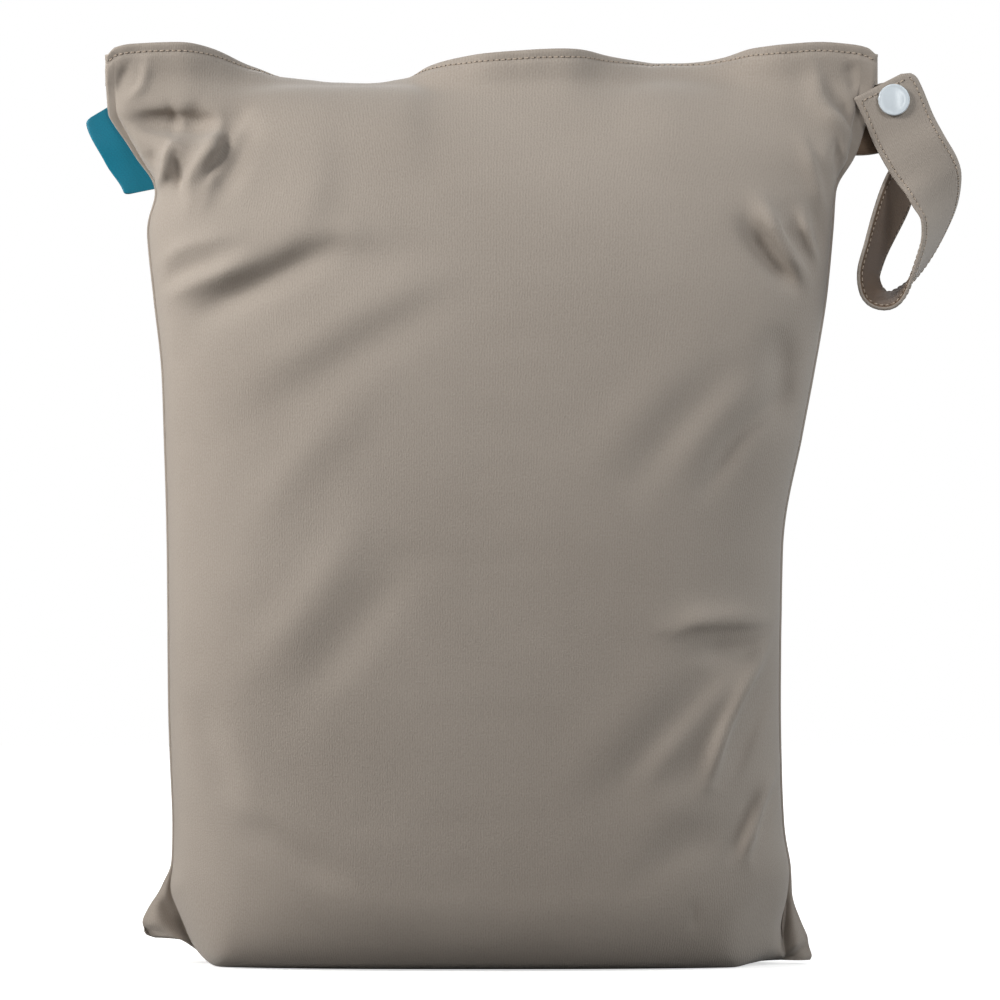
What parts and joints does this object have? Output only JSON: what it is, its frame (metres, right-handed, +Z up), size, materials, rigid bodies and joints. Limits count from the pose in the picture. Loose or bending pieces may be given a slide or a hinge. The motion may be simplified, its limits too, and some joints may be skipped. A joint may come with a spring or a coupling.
{
  "type": "cloth diaper wet bag",
  "caption": "Soft zip-top wet bag for cloth diapers, filled and standing, with a wavy hemmed mouth, a blank side label and a hanging strap snapped into a loop.",
  "frame": {"origin": "on the floor, in the middle of the flat base, on the front panel just in front of the foot seam", "axes": "+X to the strap side, +Y to the back of the bag, +Z up to the mouth"},
  "size_m": [0.344, 0.119, 0.361],
  "materials": {
    "bag_cloth": "matte warm grey-beige laminated knit",
    "strap_cloth": "matte warm grey-beige laminated knit, topstitched",
    "zip_plastic": "matte beige coil and tape",
    "snap_plastic": "glossy white",
    "label_cloth": "teal satin ribbon, blank"
  },
  "bodies": {
    "root": {"front_panel": "bag_cloth", "back_panel": "bag_cloth", "zip_closure": "zip_plastic", "strap": "strap_cloth", "snap_cap": "snap_plastic", "snap_body": "snap_plastic", "snap_back_cap": "snap_plastic", "side_label": "label_cloth"}
  },
  "joints": []
}
